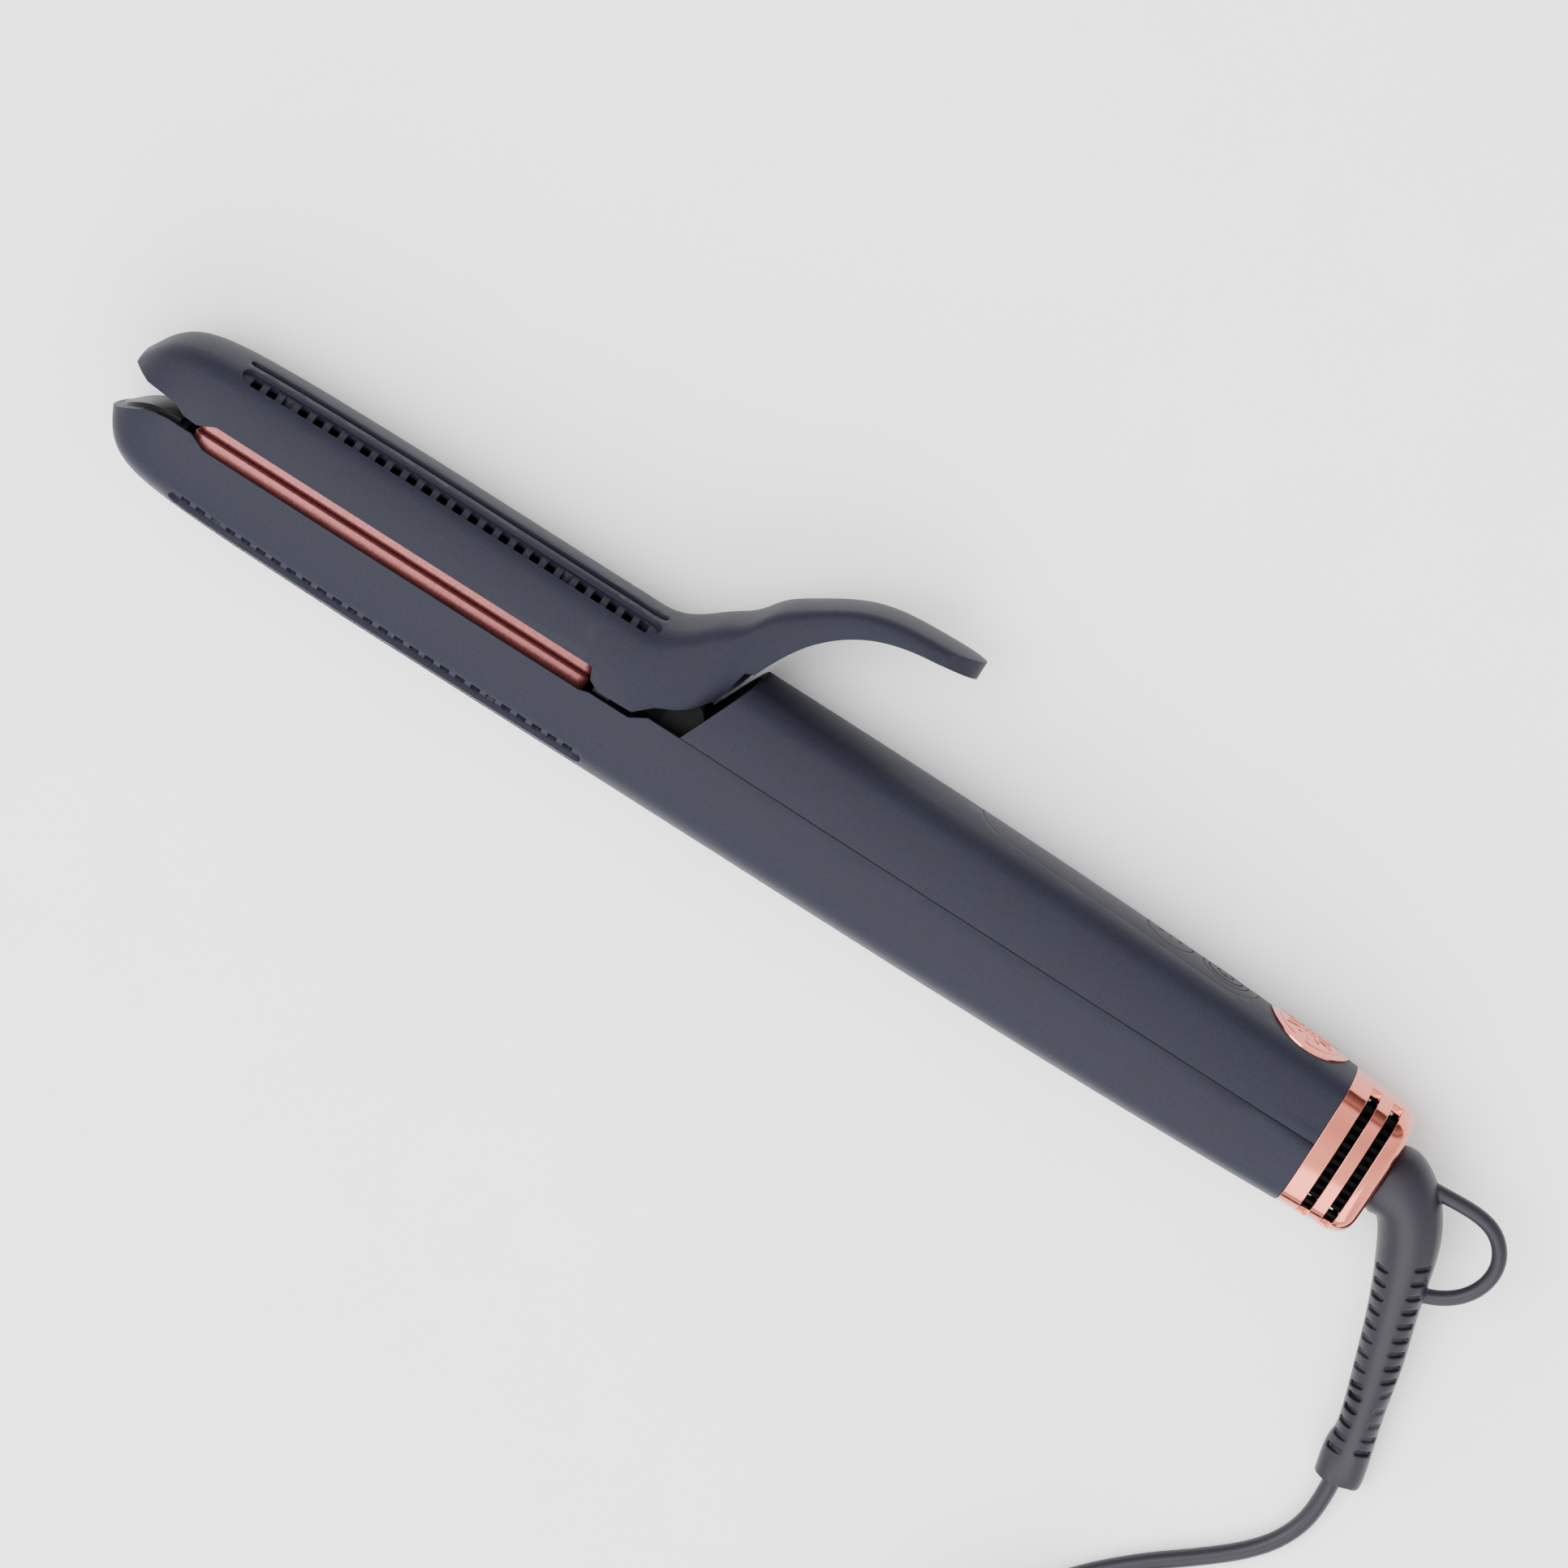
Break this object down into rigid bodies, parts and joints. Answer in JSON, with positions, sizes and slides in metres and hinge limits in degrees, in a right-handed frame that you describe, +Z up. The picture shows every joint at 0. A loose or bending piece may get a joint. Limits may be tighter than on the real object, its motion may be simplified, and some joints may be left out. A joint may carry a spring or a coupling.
{
  "type": "curling iron",
  "caption": "Airflow curling and straightening iron: sprung hot-plate jaws with a thumb lever, vented shells, slim handle with fan, rose cap and swivel cord.",
  "frame": {"origin": "middle of the box round the iron without its cord, on the surface that it lies on", "axes": "+X along the barrel from the jaw tips to the cord, +Y towards the thumb lever, +Z up from the surface"},
  "size_m": [0.4234, 0.2881, 0.037],
  "materials": {
    "shell_paint": "satin metallic slate, fine grain",
    "shell_plastic": "satin slate",
    "panel_gloss": "semi-gloss slate",
    "rose_metal": "polished rose gold",
    "plate_coat": "satin dusky rose coating",
    "black_plastic": "gloss black",
    "inner_plastic": "matte black, heat resistant",
    "silicone": "matte",
    "steel": "satin steel",
    "ceramic": "ceramic heater",
    "board": "circuit board",
    "component": "moulded component",
    "brass": "bright brass",
    "cord_rubber": "satin slate rubber"
  },
  "bodies": {
    "handle": {"lower_shell": "shell_paint", "handle_shell": "shell_paint", "lower_plate": "plate_coat", "lower_heater": "ceramic", "lower_plate_frame": "inner_plastic", "lower_pads": "silicone", "lower_tip_insert": "black_plastic", "hinge_bracket": "steel", "hinge_pin": "steel", "hinge_spring": "steel", "hinge_cover": "inner_plastic", "bracket_screws": "steel", "board_screws": "steel", "control_panel": "panel_gloss", "emblem_disc": "rose_metal", "main_board": "board", "board_components": "component", "control_board": "board", "tact_switches": "component", "fan_motor": "steel", "fan_duct": "inner_plastic", "end_cap": "rose_metal", "intake_grille": "inner_plastic", "swivel_bearing": "inner_plastic", "cord_tube": "cord_rubber", "cord_coil": "cord_rubber", "cord_tail": "cord_rubber", "coil_tie": "inner_plastic", "plug_body": "cord_rubber", "plug_pins": "brass"},
    "clip_arm": {"arm_shell": "shell_paint", "upper_plate": "plate_coat", "upper_heater": "ceramic", "upper_plate_frame": "inner_plastic", "upper_pads": "silicone", "upper_tip_insert": "black_plastic", "hinge_knuckle": "steel", "rear_bumper": "silicone", "arm_screws": "steel"},
    "power_key": {"power_button": "panel_gloss"},
    "temperature_key": {"temperature_rocker": "panel_gloss"},
    "speed_key": {"speed_button": "shell_plastic"},
    "airflow_key": {"airflow_button": "shell_plastic"},
    "fan": {"fan_rotor": "inner_plastic"},
    "cord_swivel": {"swivel_spigot": "shell_plastic", "strain_relief": "cord_rubber"}
  },
  "joints": [
    {"name": "clip_hinge", "type": "hinge", "parent": "handle", "child": "clip_arm", "pos_m": [-0.0389, 0.0146, 0.0185], "axis": [0, 0, -1], "range_deg": [0, 12], "stiffness_Nm_per_rad": 0.5, "springref_deg": -28.65},
    {"name": "power_press", "type": "slide", "parent": "handle", "child": "power_key", "axis": [0, -1, 0], "range_m": [0, 0.0008], "stiffness_N_per_m": 900, "springref_m": -0.0004},
    {"name": "temperature_rock", "type": "hinge", "parent": "handle", "child": "temperature_key", "pos_m": [0.0817, 0.0274, 0.0185], "axis": [0, 0, 1], "range_deg": [-3, 3], "stiffness_Nm_per_rad": 0.05},
    {"name": "speed_press", "type": "slide", "parent": "handle", "child": "speed_key", "axis": [0, 1, 0], "range_m": [0, 0.0008], "stiffness_N_per_m": 900, "springref_m": -0.0004},
    {"name": "airflow_press", "type": "slide", "parent": "handle", "child": "airflow_key", "axis": [0, 1, 0], "range_m": [0, 0.0008], "stiffness_N_per_m": 900, "springref_m": -0.0004},
    {"name": "fan_spin", "type": "hinge", "parent": "handle", "child": "fan", "pos_m": [0.1191, 0.0104, 0.0185], "axis": [1, 0, 0], "continuous": true},
    {"name": "cord_turn", "type": "hinge", "parent": "handle", "child": "cord_swivel", "pos_m": [0.1521, 0.0104, 0.0185], "axis": [1, 0, 0], "continuous": true}
  ]
}
